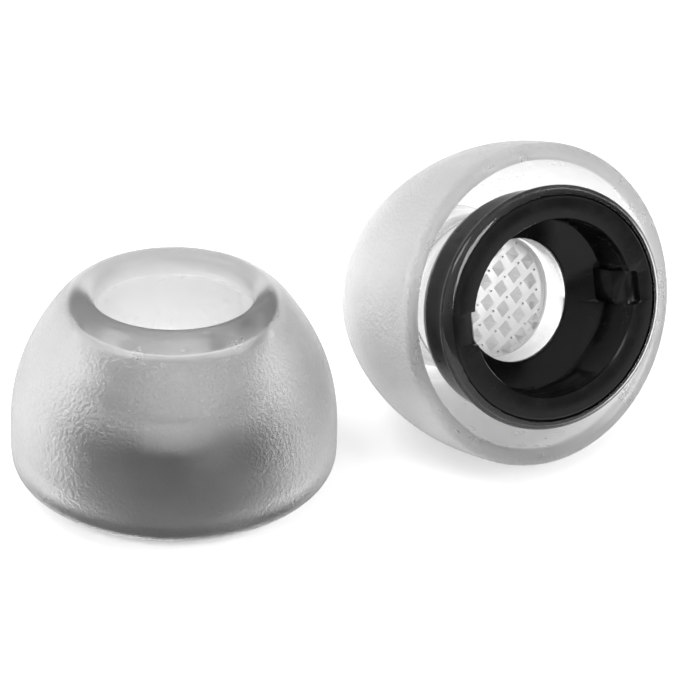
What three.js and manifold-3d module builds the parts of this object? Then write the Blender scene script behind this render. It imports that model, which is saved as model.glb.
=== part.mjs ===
// A pair of soft ear tips for in-ear earphones, in millimetres, +Z up.
// One tip stands on its connector with the nozzle up. The other lies on its side, and shows its connector.
// Both tips are the same four pieces: a frosted canopy, a core sleeve, a snap connector and a wax guard.
//
// Each tip is drawn in its own frame: +z towards the nozzle's mouth, and z = 0 just above the skirt's rim.
// Its x axis is the long axis of the oval mouth, and the connector's two notches lie on it.

import * as THREE from "three";
import { mergeVertices } from "three/addons/utils/BufferGeometryUtils.js";
import Module from "manifold-3d";

const wasm = await Module();
wasm.setup();

// Canopy: the skirt is round, and the crown narrows in y towards the oval nozzle.
const RIM_RADIUS = 6.27;
const RIM_Z = -0.2; // lowest ring of the rim's round lip
const SKIN_THICKNESS = 0.64;
const RIM_RATIO = 1.006; // y radius over x radius at the rim
const RATIO_PER_MM = 0.016; // how fast the skirt narrows in y with height
const CREST_HEIGHT = 7.37;
const CREST_RADIUS = 3.55;
const STEM_START = 3.62; // the canopy's stem, which holds the nozzle's bore, ends here on the core sleeve

// Nozzle's bore
const BORE_RADIUS = 3.05; // along x
const BORE_RATIO = 0.82; // y radius over x radius

// Connector
const FACE_Z = -1.25; // flat front face, proud of the rim
const CONNECTOR_RATIO = 0.925;
const FACE_RADIUS = 4.64;
const FLANGE_RADIUS = 4.9; // the flange slopes back from the face, and is wider than the wall behind it
const FLANGE_FRONT = -1.04;
const FLANGE_BACK = -0.84;
const WALL_RADIUS = 4.45;
const WALL_END = 0.8;
const SOCKET_RADIUS = 3.7;
const SOCKET_FLOOR = 0.6;
const HOLE_RADIUS = 2.4;
const HOLE_START = 1.28;
const COLLAR_RADIUS = 3.32; // outside of the collar that anchors the core sleeve
const COLLAR_BORE = 2.99;
const COLLAR_TOP = 1.8;
const NOTCH_REACH = 4.0; // how far the two notches reach from the axis
const NOTCH_DEPTH = 0.33;
const NOTCH_WIDTH = 1.32;
const CATCH_REACH = 3.32; // the flat inner face of each catch, under its notch
const CATCH_WIDTH = 1.3;
const CATCH_LEAD_IN = 0.45;
const BEAD_RADIUS = 3.56; // crest of the two snap beads, a quarter turn from the notches
const BEAD_Z = -0.1;
const BEAD_SPREAD = THREE.MathUtils.degToRad(56);

// Core sleeve: a neck above the connector, a thin jacket round it and a bead round its face
const TONGUE_START = 1.5; // the sleeve's end inside the connector's collar
const SLEEVE_BORE = 2.42; // round part, from the connector up to the wax guard
const LEDGE_Z = 2.94;
const LEDGE_RADIUS = 2.05;
const JACKET_RADIUS = 4.72;
const JACKET_BEAD_RADIUS = 5.13;
const FIT_GAP = 0.03; // room left between two pieces that are bonded together

// Wax guard: a moulded disc with a low rim, pyramids on a triangular lattice and fine holes between them
const GUARD_RADIUS = SLEEVE_BORE - FIT_GAP;
const GUARD_RIM_Z = 2.56;
const GUARD_PLATE_Z = 2.62;
const GUARD_BACK_Z = LEDGE_Z - FIT_GAP;
const GUARD_WINDOW = 2.3;
const PYRAMID_PITCH = 0.8;
const PYRAMID_SIDE = 0.56;
const PYRAMID_HEIGHT = 0.38;
const PYRAMID_TURN = THREE.MathUtils.degToRad(60);
const LATTICE_SHIFT = [-0.25, 0.25];
const GUARD_HOLE_RADIUS = 0.05;

// Where the tips lie
const STANDING_X = -6.35;
const LYING_X = 7.54;
const LYING_Y = 2.16;
const LYING_YAW = THREE.MathUtils.degToRad(37.4); // the opening turns to the right of the front
const LYING_PITCH = THREE.MathUtils.degToRad(19.5); // and looks up
const LYING_ROLL = THREE.MathUtils.degToRad(-59.5);

// Facets
const ROUND = 48;
const GUARD_ROUND = 36;
const GUARD_HOLE_SIDES = 6;
const CORNER_STEPS = 4;
const SINK = 0.05; // how far a piece that is joined on is sunk into its base
const PAST = 0.5; // how far a cutter runs past the surface it cuts

const AXIS_X = new THREE.Vector3(1, 0, 0);
const AXIS_Y = new THREE.Vector3(0, 1, 0);
const AXIS_Z = new THREE.Vector3(0, 0, 1);

const MATERIALS = {
  canopy: { color: 0xd9d9d9, roughness: 0.5, metalness: 0, transparent: true, opacity: 0.75 },
  core_sleeve: { color: 0xe6e6e4, roughness: 0.45, metalness: 0 },
  connector: { color: 0x141414, roughness: 0.25, metalness: 0 },
  wax_guard: { color: 0xeeeeee, roughness: 0.2, metalness: 0 },
};

function solidOf(geometry) {
  const bare = geometry.clone();
  bare.deleteAttribute("normal");
  bare.deleteAttribute("uv");
  const merged = mergeVertices(bare, 1e-4);
  return new wasm.Manifold(
    new wasm.Mesh({
      numProp: 3,
      vertProperties: new Float32Array(merged.attributes.position.array),
      triVerts: new Uint32Array(merged.index.array),
    }),
  );
}

function geometryOf(solid) {
  const mesh = solid.getMesh();
  const geometry = new THREE.BufferGeometry();
  geometry.setAttribute("position", new THREE.BufferAttribute(new Float32Array(mesh.vertProperties), 3));
  geometry.setIndex(new THREE.BufferAttribute(new Uint32Array(mesh.triVerts), 1));
  geometry.computeVertexNormals();
  return geometry;
}

// Turns a profile round the z axis. A row is [x radius, z, y radius over x radius].
function ovalLathe(rows, segments = ROUND) {
  const outline = rows.map(([radius, z]) => new THREE.Vector2(radius, z));
  const geometry = new THREE.LatheGeometry(outline, segments);
  geometry.rotateX(Math.PI / 2);
  const position = geometry.attributes.position;
  for (let i = 0; i < position.count; i++) {
    const ratio = rows[i % rows.length][2] ?? 1;
    position.setY(i, position.getY(i) * ratio);
  }
  return geometry;
}

function closedRows(rows) {
  return [...rows, rows[0]];
}

function skirtRatio(z) {
  return RIM_RATIO - RATIO_PER_MM * z;
}

// The dome's outline from the rim to the shoulder under the crest, as [x radius, z].
const DOME = [
  [RIM_RADIUS, 0.25],
  [6.29, 0.82],
  [6.3, 1.67],
  [6.23, 2.55],
  [6.06, 3.45],
  [5.76, 4.36],
  [5.35, 5.27],
  [4.82, 6.16],
];

// The dome's outline moved inwards by the skin's thickness.
function insideOfDome() {
  const points = DOME.map(([radius, z]) => new THREE.Vector2(radius, z));
  return points.map((point, i) => {
    const before = points[Math.max(i - 1, 0)];
    const after = points[Math.min(i + 1, points.length - 1)];
    const along = after.clone().sub(before).normalize();
    return [point.x - along.y * SKIN_THICKNESS, point.y + along.x * SKIN_THICKNESS];
  });
}

function canopy() {
  const outside = DOME.map(([radius, z]) => [radius, z, skirtRatio(z)]);
  const crest = [
    [4.5, 6.62, skirtRatio(6.62)],
    [4.15, 7.0, 0.878],
    [3.84, 7.26, 0.855],
    [CREST_RADIUS, CREST_HEIGHT, 0.83],
    [3.27, 7.29, 0.822],
    [3.11, 7.1, BORE_RATIO],
    [BORE_RADIUS, 6.86, BORE_RATIO],
  ];
  const stem = [
    [BORE_RADIUS, 4.3, BORE_RATIO],
    [2.96, 3.85, 0.85],
    [2.88, STEM_START, 0.88],
    [3.48, STEM_START, 0.9],
    [3.52, 4.3, 0.875],
    [3.59, 5.2, 0.855],
    [3.62, 6.1, 0.845],
  ];
  const vault = [
    [3.68, 6.32, 0.85],
    [3.8, 6.4, 0.855],
    [3.95, 6.33, 0.865],
    [4.12, 6.12, 0.88],
  ];
  const inside = insideOfDome()
    .filter(([, z]) => z > RIM_Z + 0.5)
    .map(([radius, z]) => [radius, z, skirtRatio(z)])
    .reverse();
  const rim = [
    [5.53, 0.06, RIM_RATIO],
    [5.6, -0.1, RIM_RATIO],
    [5.76, -0.18, RIM_RATIO],
    [5.98, RIM_Z, RIM_RATIO],
    [6.14, -0.12, RIM_RATIO],
    [6.24, 0.05, RIM_RATIO],
  ];
  return ovalLathe(closedRows([...outside, ...crest, ...stem, ...vault, ...inside, ...rim]));
}

function coreSleeve() {
  const gap = FIT_GAP;
  const ratio = CONNECTOR_RATIO;
  const bead = [
    [FACE_RADIUS + 0.05, FACE_Z + 0.02, ratio],
    [4.84, -1.2, ratio],
    [4.98, -1.14, ratio],
    [5.09, -1.04, ratio],
    [JACKET_BEAD_RADIUS, -0.92, ratio],
    [5.1, -0.78, ratio],
    [4.99, -0.66, ratio],
    [4.84, -0.58, ratio],
  ];
  const jacket = [
    [JACKET_RADIUS, -0.46, ratio],
    [JACKET_RADIUS, 0.78, ratio],
    [4.66, 0.92, ratio],
    [4.5, 1.05, 0.93],
    [3.72, 1.62, 0.97],
  ];
  const neck = [
    [3.5, 1.9, 0.96],
    [3.44, 2.4, 0.93],
    [3.47, 3.1, 0.9],
    [3.48, STEM_START - gap, 0.9],
    [2.88, STEM_START - gap, 0.88],
    [2.7, 3.4, 0.9],
    [LEDGE_RADIUS, LEDGE_Z + 0.16],
    [LEDGE_RADIUS, LEDGE_Z],
    [SLEEVE_BORE, LEDGE_Z],
    [SLEEVE_BORE, TONGUE_START],
    [COLLAR_BORE - gap, TONGUE_START],
  ];
  const overConnector = [
    [COLLAR_BORE - gap, COLLAR_TOP + gap],
    [COLLAR_RADIUS + gap, COLLAR_TOP + gap],
    [COLLAR_RADIUS + gap, 1.52 + gap],
    [4.36 + gap, 0.9 + gap, ratio],
    [WALL_RADIUS + gap, WALL_END, ratio],
    [WALL_RADIUS + gap, FLANGE_BACK + 0.23, ratio],
    [FLANGE_RADIUS + gap, FLANGE_BACK + gap, ratio],
    [FLANGE_RADIUS + gap, FLANGE_FRONT - gap, ratio],
  ];
  return ovalLathe(closedRows([...bead, ...jacket, ...neck, ...overConnector]));
}

function connectorBody() {
  const ratio = CONNECTOR_RATIO;
  return ovalLathe(
    closedRows([
      [FACE_RADIUS - 0.05, FACE_Z, ratio],
      [FACE_RADIUS, FACE_Z + 0.04, ratio],
      [FLANGE_RADIUS, FLANGE_FRONT, ratio],
      [FLANGE_RADIUS, FLANGE_BACK, ratio],
      [WALL_RADIUS, FLANGE_BACK + 0.2, ratio],
      [WALL_RADIUS, WALL_END, ratio],
      [4.36, 0.9, ratio],
      [COLLAR_RADIUS, 1.52],
      [COLLAR_RADIUS, COLLAR_TOP - 0.06],
      [COLLAR_RADIUS - 0.06, COLLAR_TOP],
      [COLLAR_BORE, COLLAR_TOP],
      [COLLAR_BORE, TONGUE_START - FIT_GAP],
      [HOLE_RADIUS, TONGUE_START - FIT_GAP],
      [HOLE_RADIUS, HOLE_START + 0.03],
      [HOLE_RADIUS + 0.06, HOLE_START - 0.03],
      [3.46, 0.72, 0.95],
      [3.62, SOCKET_FLOOR + 0.04, 0.935],
      [SOCKET_RADIUS, SOCKET_FLOOR - 0.08, ratio],
      [SOCKET_RADIUS, FACE_Z + 0.1, ratio],
      [SOCKET_RADIUS + 0.06, FACE_Z, ratio],
    ]),
  );
}

function roundedRectangle(left, right, low, high, radius) {
  const shape = new THREE.Shape();
  shape.moveTo(left + radius, low);
  shape.lineTo(right - radius, low);
  shape.absarc(right - radius, low + radius, radius, -Math.PI / 2, 0);
  shape.lineTo(right, high - radius);
  shape.absarc(right - radius, high - radius, radius, 0, Math.PI / 2);
  shape.lineTo(left + radius, high);
  shape.absarc(left + radius, high - radius, radius, Math.PI / 2, Math.PI);
  shape.lineTo(left, low + radius);
  shape.absarc(left + radius, low + radius, radius, Math.PI, 1.5 * Math.PI);
  return shape;
}

function polygon(points) {
  return new THREE.Shape(points.map(([x, y]) => new THREE.Vector2(x, y)));
}

function extrude(shape, depth) {
  return new THREE.ExtrudeGeometry(shape, { depth, bevelEnabled: false, curveSegments: CORNER_STEPS });
}

// A pocket in the front face, open to the socket, on the +x side.
function notchCutter() {
  const half = NOTCH_WIDTH / 2;
  const outline = roundedRectangle(SOCKET_RADIUS - 1, NOTCH_REACH, -half, half, 0.2);
  return extrude(outline, NOTCH_DEPTH + PAST).translate(0, 0, FACE_Z - PAST);
}

// A block on the socket's wall under the notch on the +x side. It slopes at the top, to lead the nozzle in,
// and the far corners of its face are round.
function catchBlock() {
  const half = CATCH_WIDTH / 2;
  const top = FACE_Z + NOTCH_DEPTH;
  const low = SOCKET_FLOOR + 0.3;
  const root = SOCKET_RADIUS + 0.25;
  const face = roundedRectangle(-half, half, top - 1, low, 0.34);
  const acrossToX = new THREE.Matrix4().makeBasis(AXIS_Y, AXIS_Z, AXIS_X);
  const front = extrude(face, root).applyMatrix4(acrossToX);
  const side = polygon([
    [root, top],
    [SOCKET_RADIUS - 0.02, top],
    [CATCH_REACH, top + CATCH_LEAD_IN],
    [CATCH_REACH, low],
    [root, low],
  ]);
  const acrossToY = new THREE.Matrix4().makeBasis(AXIS_X, AXIS_Z, AXIS_Y.clone().negate());
  const profile = extrude(side, CATCH_WIDTH + 2 * PAST).applyMatrix4(acrossToY);
  profile.translate(0, half + PAST, 0);
  return solidOf(front).intersect(solidOf(profile));
}

// The snap bead on the +y side of the socket's wall.
function snapBead() {
  const root = SOCKET_RADIUS + SINK;
  const ring = ovalLathe(
    closedRows([
      [BEAD_RADIUS, BEAD_Z + 0.04, CONNECTOR_RATIO],
      [BEAD_RADIUS, BEAD_Z - 0.04, CONNECTOR_RATIO],
      [root, BEAD_Z - 0.22, CONNECTOR_RATIO],
      [root, BEAD_Z + 0.22, CONNECTOR_RATIO],
    ]),
  );
  const reach = 2 * SOCKET_RADIUS;
  const side = reach * Math.tan(BEAD_SPREAD / 2);
  const sector = extrude(polygon([[0, 0], [side, reach], [-side, reach]]), 1).translate(0, 0, BEAD_Z - 0.5);
  return solidOf(ring).intersect(solidOf(sector));
}

function connector() {
  const halfTurn = [0, 0, 180];
  const cutter = solidOf(notchCutter());
  let solid = solidOf(connectorBody());
  for (const block of [catchBlock(), snapBead()]) {
    solid = solid.add(block).add(block.rotate(halfTurn));
  }
  solid = solid.subtract(cutter).subtract(cutter.rotate(halfTurn));
  return geometryOf(solid);
}

// The guard's lattice points inside a circle, as [x, y]. The lattice is triangular.
function latticePoints(shiftX, shiftY, radius) {
  const points = [];
  const rowStep = PYRAMID_PITCH * Math.sin(Math.PI / 3);
  const rows = Math.ceil(radius / rowStep) + 1;
  for (let row = -rows; row <= rows; row++) {
    for (let column = -rows; column <= rows; column++) {
      const x = row * rowStep + shiftX;
      const y = (column + (row % 2) / 2) * PYRAMID_PITCH + shiftY;
      if (Math.hypot(x, y) <= radius) points.push([x, y]);
    }
  }
  return points;
}

function guardDisc() {
  return ovalLathe(
    [
      [0, GUARD_PLATE_Z],
      [GUARD_WINDOW - 0.03, GUARD_PLATE_Z],
      [GUARD_WINDOW, GUARD_RIM_Z + 0.04],
      [GUARD_WINDOW + 0.04, GUARD_RIM_Z],
      [GUARD_RADIUS - 0.06, GUARD_RIM_Z],
      [GUARD_RADIUS, GUARD_RIM_Z + 0.06],
      [GUARD_RADIUS, GUARD_BACK_Z],
      [0, GUARD_BACK_Z],
    ],
    GUARD_ROUND,
  );
}

// A pyramid on the plate, with its point towards the connector.
function pyramid(x, y) {
  const geometry = new THREE.ConeGeometry(PYRAMID_SIDE / Math.SQRT2, PYRAMID_HEIGHT + SINK, 4);
  geometry.rotateX(-Math.PI / 2);
  geometry.rotateZ(PYRAMID_TURN + Math.PI / 4);
  return geometry.translate(x, y, GUARD_PLATE_Z + SINK - (PYRAMID_HEIGHT + SINK) / 2);
}

// The room that the pyramids fill: those at the edge are cut off by the guard's rim.
function guardWindow() {
  const bottom = GUARD_PLATE_Z - PYRAMID_HEIGHT - PAST;
  return ovalLathe(
    [
      [0, bottom],
      [GUARD_WINDOW - 0.06, bottom],
      [GUARD_WINDOW - 0.06, GUARD_PLATE_Z + SINK],
      [0, GUARD_PLATE_Z + SINK],
    ],
    GUARD_ROUND,
  );
}

function guardHole(x, y) {
  const length = GUARD_BACK_Z - GUARD_PLATE_Z + 2 * PAST;
  const geometry = new THREE.CylinderGeometry(GUARD_HOLE_RADIUS, GUARD_HOLE_RADIUS, length, GUARD_HOLE_SIDES);
  return geometry.rotateX(Math.PI / 2).translate(x, y, (GUARD_BACK_Z + GUARD_PLATE_Z) / 2);
}

function waxGuard() {
  const [shiftX, shiftY] = LATTICE_SHIFT;
  const window = solidOf(guardWindow());
  const pyramids = latticePoints(shiftX, shiftY, GUARD_WINDOW).map(([x, y]) => solidOf(pyramid(x, y)));
  const betweenX = shiftX + PYRAMID_PITCH / Math.sqrt(3);
  const holeReach = GUARD_WINDOW - 2 * GUARD_HOLE_RADIUS;
  const holes = latticePoints(betweenX, shiftY, holeReach).map(([x, y]) => solidOf(guardHole(x, y)));
  let solid = solidOf(guardDisc());
  for (const piece of pyramids) solid = solid.add(piece.intersect(window));
  for (const hole of holes) solid = solid.subtract(hole);
  return geometryOf(solid);
}

const SHAPES = {
  canopy: canopy(),
  core_sleeve: coreSleeve(),
  connector: connector(),
  wax_guard: waxGuard(),
};

function tip(prefix) {
  const group = new THREE.Group();
  for (const [piece, geometry] of Object.entries(SHAPES)) {
    const mesh = new THREE.Mesh(geometry, new THREE.MeshStandardMaterial(MATERIALS[piece]));
    mesh.name = `${prefix}_${piece}`;
    group.add(mesh);
  }
  return group;
}

// Lays a tip down: its opening turns to the right of the front and looks up a little.
function layDown(group) {
  const opening = new THREE.Vector3(
    Math.cos(LYING_PITCH) * Math.sin(LYING_YAW),
    -Math.cos(LYING_PITCH) * Math.cos(LYING_YAW),
    Math.sin(LYING_PITCH),
  );
  const nozzle = opening.negate();
  const level = new THREE.Vector3().crossVectors(AXIS_Y, nozzle).normalize();
  const upright = new THREE.Vector3().crossVectors(nozzle, level);
  group.quaternion.setFromRotationMatrix(new THREE.Matrix4().makeBasis(level, upright, nozzle));
  group.rotateZ(LYING_ROLL);
}

function restOnFloor(group) {
  group.updateMatrixWorld(true);
  group.position.z -= new THREE.Box3().setFromObject(group, true).min.z;
}

function earTips() {
  const standing = tip("standing");
  standing.position.x = STANDING_X;
  restOnFloor(standing);
  const lying = tip("lying");
  layDown(lying);
  lying.position.set(LYING_X, LYING_Y, 0);
  restOnFloor(lying);
  const pair = new THREE.Group();
  pair.add(standing, lying);
  pair.updateMatrixWorld(true);
  const middle = new THREE.Box3().setFromObject(pair, true).getCenter(new THREE.Vector3());
  for (const group of pair.children) {
    group.position.x -= middle.x;
    group.position.y -= middle.y;
  }
  return pair;
}

export default earTips();
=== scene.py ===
"""Looks for a pair of frosted ear tips: one stands on its connector, the other lies on its side."""

import math

import bmesh
import bpy
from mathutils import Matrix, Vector


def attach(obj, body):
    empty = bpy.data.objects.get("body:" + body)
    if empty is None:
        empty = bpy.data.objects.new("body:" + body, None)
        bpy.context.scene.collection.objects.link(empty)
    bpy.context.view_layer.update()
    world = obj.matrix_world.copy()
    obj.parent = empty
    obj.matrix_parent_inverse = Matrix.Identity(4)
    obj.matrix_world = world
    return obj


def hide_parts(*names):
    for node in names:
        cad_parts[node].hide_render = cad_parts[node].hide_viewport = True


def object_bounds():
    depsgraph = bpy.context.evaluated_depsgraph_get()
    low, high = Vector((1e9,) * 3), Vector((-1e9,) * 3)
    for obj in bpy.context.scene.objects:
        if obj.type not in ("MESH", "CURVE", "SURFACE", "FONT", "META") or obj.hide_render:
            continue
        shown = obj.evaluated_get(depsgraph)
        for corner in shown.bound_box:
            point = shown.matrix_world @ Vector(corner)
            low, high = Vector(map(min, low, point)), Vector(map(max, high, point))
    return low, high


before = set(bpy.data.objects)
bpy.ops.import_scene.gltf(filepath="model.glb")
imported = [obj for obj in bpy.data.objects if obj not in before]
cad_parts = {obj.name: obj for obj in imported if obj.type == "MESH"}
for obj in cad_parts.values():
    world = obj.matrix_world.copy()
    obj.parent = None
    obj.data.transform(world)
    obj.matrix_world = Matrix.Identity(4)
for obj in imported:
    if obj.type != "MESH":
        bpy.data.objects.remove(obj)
CAD_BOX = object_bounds()

MM = 0.001
BODIES = {"standing": "standing_tip", "lying": "lying_tip"}

# Each tip's own frame: a point on its axis, level with the skirt's rim, and the way to its nozzle.
RIM_CENTRES = {"standing": Vector((-6.347, -1.892, 1.25)) * MM, "lying": Vector((7.543, 0.268, 6.587)) * MM}
NOZZLE_WAYS = {"standing": Vector((0, 0, 1)), "lying": Vector((-0.57254, 0.74885, -0.33381))}


# ---------------------------------------------------------------- camera

AIM = Vector((0.028, -1.892, 6.338)) * MM  # the point in the middle of the picture
ELEVATION = math.radians(32.5)
CAMERA_DISTANCE = 1.1
VIEW_WIDTH = 26.05 * MM  # width of the view at the aim point
SENSOR_WIDTH = 36.0
CLIP_START = 0.05
CLIP_END = 10.0


def make_camera():
    data = bpy.data.cameras.new("camera")
    data.sensor_width = SENSOR_WIDTH
    data.lens = data.sensor_width * CAMERA_DISTANCE / VIEW_WIDTH
    data.clip_start = CLIP_START
    data.clip_end = CLIP_END
    camera = bpy.data.objects.new("camera", data)
    back = Vector((0, -math.cos(ELEVATION), math.sin(ELEVATION)))
    camera.location = AIM + back * CAMERA_DISTANCE
    camera.rotation_euler = (math.pi / 2 - ELEVATION, 0, 0)
    bpy.context.scene.collection.objects.link(camera)
    bpy.context.scene.camera = camera


make_camera()


# ---------------------------------------------------------------- node helpers

NOISE_LOW = 0.3  # nearly all of a noise's values lie between these two
NOISE_HIGH = 0.7


class Nodes:
    """A material's node tree, with short calls to add and join nodes."""

    def __init__(self, name):
        self.material = bpy.data.materials.new(name)
        self.material.use_nodes = True
        self.tree = self.material.node_tree
        self.shader = self.tree.nodes["Principled BSDF"]
        self.place = self.add("ShaderNodeTexCoord").outputs["Object"]

    def add(self, kind, inputs=None, **settings):
        node = self.tree.nodes.new(kind)
        for key, value in settings.items():
            setattr(node, key, value)
        for key, value in (inputs or {}).items():
            if isinstance(value, bpy.types.NodeSocket):
                self.tree.links.new(value, node.inputs[key])
            else:
                node.inputs[key].default_value = value
        return node

    def noise(self, size, detail=2.0, rough=0.5, distortion=0.0):
        """Noise whose features are size metres across."""
        inputs = {
            "Vector": self.place,
            "Scale": 1 / size,
            "Detail": detail,
            "Roughness": rough,
            "Distortion": distortion,
        }
        return self.add("ShaderNodeTexNoise", inputs).outputs["Fac"]

    def spread(self, value, low, high):
        """Noise mapped to a range."""
        inputs = {"Value": value, "From Min": NOISE_LOW, "From Max": NOISE_HIGH, "To Min": low, "To Max": high}
        return self.add("ShaderNodeMapRange", inputs).outputs["Result"]

    def bump(self, height, distance):
        """A normal for a relief that is distance metres deep where height goes from 0 to 1."""
        inputs = {"Height": height, "Distance": distance, "Strength": 1.0}
        return self.add("ShaderNodeBump", inputs).outputs["Normal"]

    def set(self, **values):
        """Sets or joins the shader's sockets, named with underscores for spaces."""
        for key, value in values.items():
            socket = self.shader.inputs[key.replace("_", " ")]
            if isinstance(value, bpy.types.NodeSocket):
                self.tree.links.new(value, socket)
            else:
                socket.default_value = value


# ---------------------------------------------------------------- materials

SILICONE_IOR = 1.41
SILICONE_TINT = (0.92, 0.92, 0.92)
# The stem is tinted darker than the rest of the silicone: painted shade inside the bore.
STEM_SHADE_TINT = (0.8, 0.8, 0.8)

GRAIN_CELL = 0.14 * MM  # width of a pebble in the mould's grain
GRAIN_FINE = 0.07 * MM  # width of the finer noise on it
GRAIN_DEPTH = 0.034 * MM
POLISH_DEPTH = 0.001 * MM  # relief that is left in a smooth mould

PLASTIC_BLACK = (0.003, 0.003, 0.0031)
PLASTIC_CLEAR = (0.93, 0.93, 0.93)
PLASTIC_GRAIN_DEPTH = 0.002 * MM


def leather_height(n):
    """The fine pebbled grain of a spark-eroded mould: round cells with finer noise on them."""
    cells = n.add(
        "ShaderNodeTexVoronoi",
        {"Vector": n.place, "Scale": 1 / GRAIN_CELL, "Randomness": 1.0},
        feature="SMOOTH_F1",
    ).outputs["Distance"]
    fine = n.noise(GRAIN_FINE, rough=0.6, distortion=0.4)
    return n.add("ShaderNodeMath", {0: cells, 1: fine}, operation="ADD").outputs["Value"]


def frosted_silicone(name):
    """Clear silicone from a grained mould."""
    n = Nodes(name)
    n.set(
        Base_Color=(*SILICONE_TINT, 1),
        Transmission_Weight=1.0,
        IOR=SILICONE_IOR,
        Specular_IOR_Level=0.15,
        Roughness=n.spread(n.noise(1.6 * MM), 0.34, 0.44),
        Normal=n.bump(leather_height(n), GRAIN_DEPTH),
    )
    return n.material


def smooth_silicone(name, rough_low, rough_high, tint=SILICONE_TINT):
    """Clear silicone from a smooth mould."""
    n = Nodes(name)
    n.set(
        Base_Color=(*tint, 1),
        Transmission_Weight=1.0,
        IOR=SILICONE_IOR,
        Specular_IOR_Level=0.3,
        Roughness=n.spread(n.noise(0.9 * MM, detail=3.0), rough_low, rough_high),
        Normal=n.bump(n.noise(0.5 * MM), POLISH_DEPTH),
    )
    return n.material


def black_plastic(name):
    """Satin black plastic with slight wear."""
    n = Nodes(name)
    grain = n.noise(0.09 * MM, detail=3.0, rough=0.6)
    wear = n.noise(0.9 * MM, detail=4.0, rough=0.6)
    n.set(
        Base_Color=(*PLASTIC_BLACK, 1),
        Roughness=n.spread(wear, 0.16, 0.3),
        IOR=1.5,
        Specular_IOR_Level=0.16,
        Normal=n.bump(grain, PLASTIC_GRAIN_DEPTH),
    )
    return n.material


def clear_plastic(name):
    """Clear plastic with a slight haze."""
    n = Nodes(name)
    n.set(
        Base_Color=(*PLASTIC_CLEAR, 1),
        Transmission_Weight=0.62,
        IOR=1.49,
        Roughness=n.spread(n.noise(0.7 * MM), 0.04, 0.1),
        Normal=n.bump(n.noise(0.3 * MM), POLISH_DEPTH),
    )
    return n.material


FROSTED = frosted_silicone("canopy_frosted")
LIP = smooth_silicone("canopy_lip", 0.32, 0.4)
# The stem's darker tint is painted shade inside the bore.
STEM = smooth_silicone("canopy_stem_painted_shade", 0.16, 0.24, tint=STEM_SHADE_TINT)
INSIDE = smooth_silicone("canopy_inside", 0.26, 0.34)
NECK = smooth_silicone("sleeve_neck", 0.08, 0.14)
JACKET = smooth_silicone("sleeve_jacket", 0.06, 0.12)
BLACK = black_plastic("connector_plastic")
BOND = black_plastic("sleeve_bond")  # the connector's plastic, seen where the silicone is bonded to it
CLEAR = clear_plastic("guard_plastic")


# ---------------------------------------------------------------- meshes

MERGE_DISTANCE = 0.0005 * MM
QUAD_FACE_ANGLE = math.radians(25)
QUAD_SHAPE_ANGLE = math.radians(60)
SUBDIVISIONS = 2
EDGE_SEGMENTS = 2
EDGE_ANGLE = math.radians(28)  # edges sharper than this are rounded
CONNECTOR_EDGE = 0.03 * MM
GUARD_EDGE = 0.01 * MM


def copied_bmesh(node):
    """The CAD node's mesh with its vertices merged."""
    bm = bmesh.new()
    bm.from_mesh(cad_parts[node].data)
    bmesh.ops.remove_doubles(bm, verts=bm.verts, dist=MERGE_DISTANCE)
    return bm


def join_quads(bm):
    bmesh.ops.join_triangles(
        bm,
        faces=bm.faces,
        angle_face_threshold=QUAD_FACE_ANGLE,
        angle_shape_threshold=QUAD_SHAPE_ANGLE,
    )


def finished_object(bm, name, tip, node):
    """Turns the mesh into an object that rides on its tip and replaces its CAD node."""
    mesh = bpy.data.meshes.new(name)
    bm.to_mesh(mesh)
    bm.free()
    piece = bpy.data.objects.new(name, mesh)
    bpy.context.scene.collection.objects.link(piece)
    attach(piece, BODIES[tip])
    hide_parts(node)
    return piece


def smooth_lathe(tip, part, materials, zone):
    """A turned silicone piece: quads from the CAD solid, subdivided. zone picks each face's material."""
    node = f"{tip}_{part}"
    bm = copied_bmesh(node)
    join_quads(bm)
    bm.normal_update()
    for face in bm.faces:
        face.smooth = True
        face.material_index = zone(tip, face)
    piece = finished_object(bm, f"{node}_soft", tip, node)
    for material in materials:
        piece.data.materials.append(material)
    subdivision = piece.modifiers.new("round", "SUBSURF")
    subdivision.levels = SUBDIVISIONS
    subdivision.render_levels = SUBDIVISIONS


def hard_piece(tip, part, material, edge, smooth):
    """A moulded plastic piece: the CAD solid with small rounded edges."""
    node = f"{tip}_{part}"
    bm = copied_bmesh(node)
    for face in bm.faces:
        face.smooth = smooth
    piece = finished_object(bm, f"{node}_hard", tip, node)
    piece.data.materials.append(material)
    rounding = piece.modifiers.new("edges", "BEVEL")
    rounding.width = edge
    rounding.segments = EDGE_SEGMENTS
    rounding.limit_method = "ANGLE"
    rounding.angle_limit = EDGE_ANGLE


def place_in_tip(tip, face):
    """The face's height along the tip's axis, and its offset from that axis."""
    way = NOZZLE_WAYS[tip]
    arm = face.calc_center_median() - RIM_CENTRES[tip]
    height = arm.dot(way)
    return height, arm - height * way


LIP_Z = 6.95 * MM  # the satin lip starts here
STEM_RADIUS = 3.68 * MM
PARTING_Z = -0.15 * MM  # the mould's parting line round the rim's lowest ring
PARTING_RADIUS = 5.99 * MM
DOME_RADIUS = 4.2 * MM  # the frosted dome starts outside this


def canopy_zone(tip, face):
    """0 on the frosted outside, 1 on the satin lip, 2 on the satin inside, 3 on the clear stem, whose darker
    tint is painted shade inside the bore.
    """
    height, outwards = place_in_tip(tip, face)
    if height > LIP_Z:
        return 1
    if outwards.length < STEM_RADIUS:
        return 3
    if height < PARTING_Z:
        return 0 if outwards.length > PARTING_RADIUS else 2
    faces_out = face.normal.dot(outwards.normalized()) > 0
    return 0 if faces_out and outwards.length > DOME_RADIUS else 2


JACKET_TOP_Z = 1.2 * MM
BOND_TOP_Z = 1.9 * MM
BOND_INNER_RADIUS = 2.9 * MM
TURNED_IN = -0.05  # a face's normal along the way outwards, at most, where it grips the connector's wall
TURNED_DOWN = -0.5  # and along the nozzle's way, at most, where it sits on the connector's collar


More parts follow.
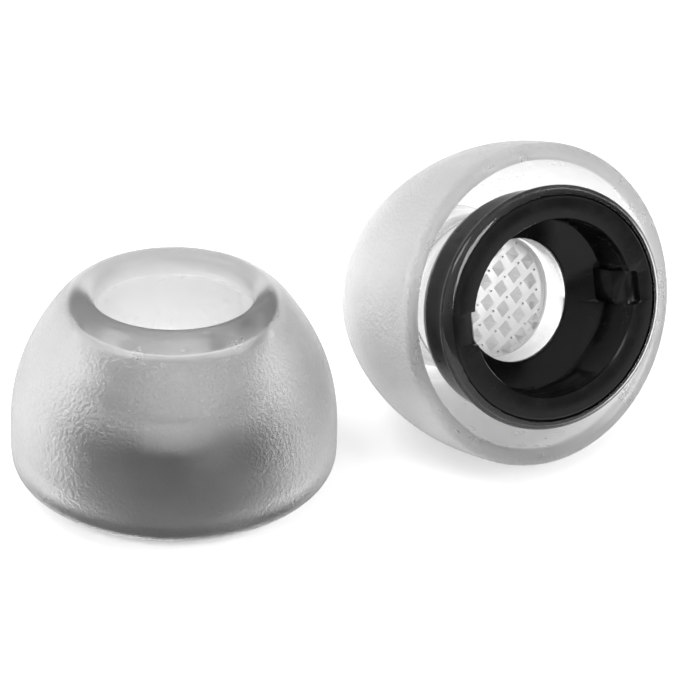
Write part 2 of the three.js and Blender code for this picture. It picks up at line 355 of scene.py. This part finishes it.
def sleeve_zone(tip, face):
    """0 on the neck, 1 on the polished jacket, 2 where the silicone is bonded to the black connector."""
    height, outwards = place_in_tip(tip, face)
    on_wall = face.normal.dot(outwards.normalized()) < TURNED_IN
    on_collar = height > 0 and face.normal.dot(NOZZLE_WAYS[tip]) < TURNED_DOWN
    if height < BOND_TOP_Z and outwards.length > BOND_INNER_RADIUS and (on_wall or on_collar):
        return 2
    return 0 if height > JACKET_TOP_Z else 1


for tip in BODIES:
    smooth_lathe(tip, "canopy", [FROSTED, LIP, INSIDE, STEM], canopy_zone)
    smooth_lathe(tip, "core_sleeve", [NECK, JACKET, BOND], sleeve_zone)
    hard_piece(tip, "connector", BLACK, CONNECTOR_EDGE, smooth=True)
    hard_piece(tip, "wax_guard", CLEAR, GUARD_EDGE, smooth=False)


# ---------------------------------------------------------------- floor and light

FLOOR_HALF_WIDTH = 0.4
FLOOR_CELLS = 8
FLOOR_GAP = 0.0005 * MM
FLOOR_WHITE = (0.84, 0.84, 0.84)
FLOOR_GLOW = 0.36  # the floor is a light table
FLOOR_GRAIN = 0.3 * MM
FLOOR_GRAIN_DEPTH = 0.002 * MM

# Each soft light's place and size in metres, and its power in watts. Both shine on the origin.
LIGHTS = {
    "key": {"place": (-0.1, -0.04, 0.2), "size": (0.1, 0.1), "power": 0.2},
    "fill": {"place": (0.16, -0.14, 0.12), "size": (0.08, 0.12), "power": 0.3},
}

SKY_STOPS = [(0.0, 0.3), (0.12, 0.34), (0.45, 0.95), (1.0, 1.15)]  # (sine of elevation, brightness)


def make_floor():
    bm = bmesh.new()
    bmesh.ops.create_grid(bm, x_segments=FLOOR_CELLS, y_segments=FLOOR_CELLS, size=FLOOR_HALF_WIDTH)
    mesh = bpy.data.meshes.new("floor")
    bm.to_mesh(mesh)
    bm.free()
    floor = bpy.data.objects.new("floor", mesh)
    floor.location.z = CAD_BOX[0][2] - FLOOR_GAP
    n = Nodes("floor_acrylic")
    n.set(
        Base_Color=(*FLOOR_WHITE, 1),
        Roughness=0.9,
        Normal=n.bump(n.noise(FLOOR_GRAIN), FLOOR_GRAIN_DEPTH),
        Emission_Color=(1, 1, 1, 1),
        Emission_Strength=FLOOR_GLOW,
    )
    mesh.materials.append(n.material)
    bpy.context.scene.collection.objects.link(floor)


def area_light(name, place, size, power):
    data = bpy.data.lights.new(name, "AREA")
    data.shape = "RECTANGLE"
    data.size, data.size_y = size
    data.energy = power
    light = bpy.data.objects.new(name, data)
    light.location = Vector(place)
    light.rotation_euler = (-light.location).to_track_quat("-Z", "Y").to_euler()
    bpy.context.scene.collection.objects.link(light)


def make_world():
    """A studio that is dim near the horizon and bright above."""
    world = bpy.data.worlds.new("studio")
    world.use_nodes = True
    tree = world.node_tree
    way = tree.nodes.new("ShaderNodeTexCoord")
    split = tree.nodes.new("ShaderNodeSeparateXYZ")
    ramp = tree.nodes.new("ShaderNodeValToRGB")
    tree.links.new(way.outputs["Generated"], split.inputs["Vector"])
    tree.links.new(split.outputs["Z"], ramp.inputs["Fac"])
    while len(ramp.color_ramp.elements) < len(SKY_STOPS):
        ramp.color_ramp.elements.new(0.5)
    for element, (place, level) in zip(ramp.color_ramp.elements, SKY_STOPS):
        element.position = place
        element.color = (level, level, level, 1)
    tree.links.new(ramp.outputs["Color"], tree.nodes["Background"].inputs["Color"])
    bpy.context.scene.world = world


make_floor()
make_world()
for name, light in LIGHTS.items():
    area_light(name, **light)
bpy.context.scene.view_settings.view_transform = "Standard"
bpy.context.scene.cycles.use_denoising = True
